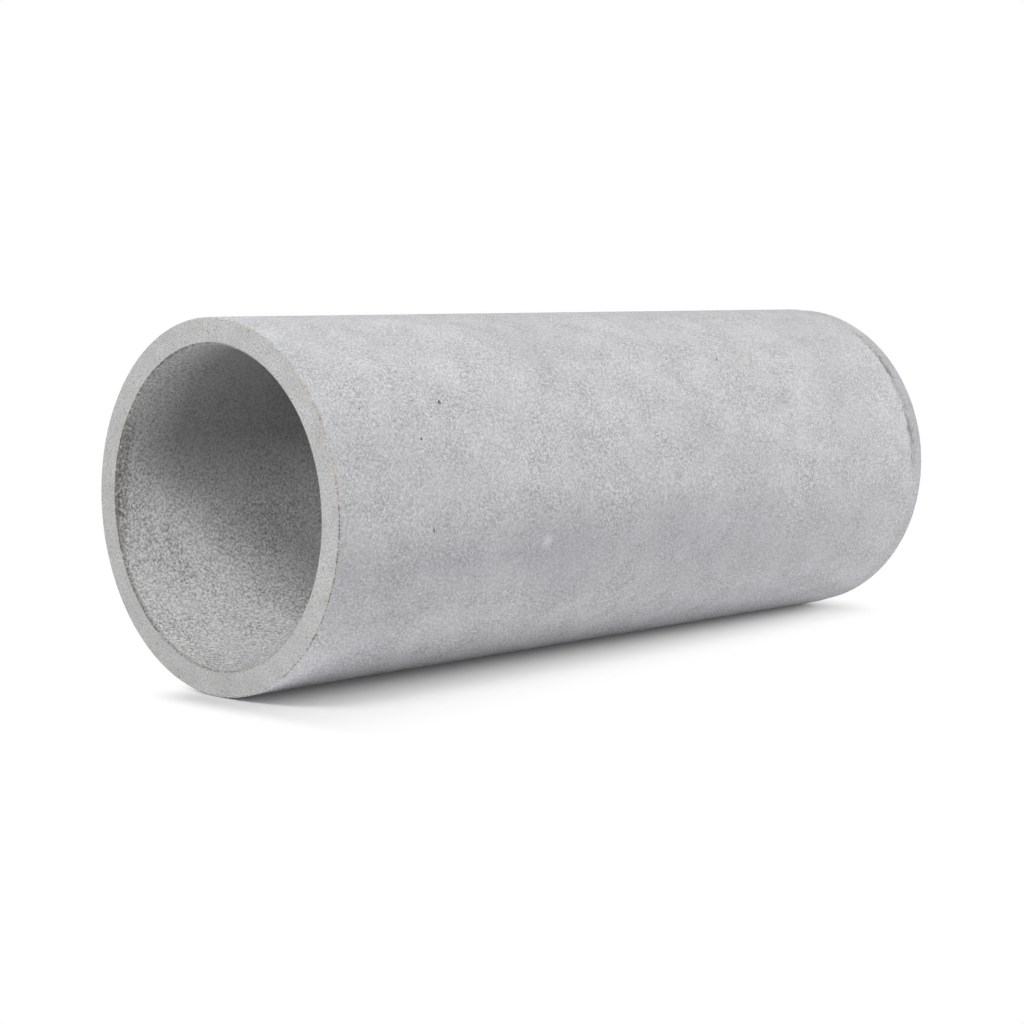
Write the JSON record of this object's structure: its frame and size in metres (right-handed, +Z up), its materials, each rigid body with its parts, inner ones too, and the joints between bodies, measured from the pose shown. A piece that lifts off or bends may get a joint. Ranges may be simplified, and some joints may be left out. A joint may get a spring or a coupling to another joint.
{
  "type": "concrete sewer pipe",
  "caption": "Plain-ended round concrete sewer pipe: a thin even wall, a straight through bore with bevelled mouths, and a narrow set-back band round its ring end; lies on its side.",
  "frame": {"origin": "on the floor under the middle of the barrel, where the pipe rests on its side", "axes": "+X along the pipe towards its banded ring end, +Z up"},
  "size_m": [0.9, 0.356, 0.356],
  "materials": {
    "concrete": "matt as-cast concrete, light cool grey, fine grained, with small bug holes"
  },
  "bodies": {
    "root": {"concrete_pipe": "concrete"}
  },
  "joints": []
}
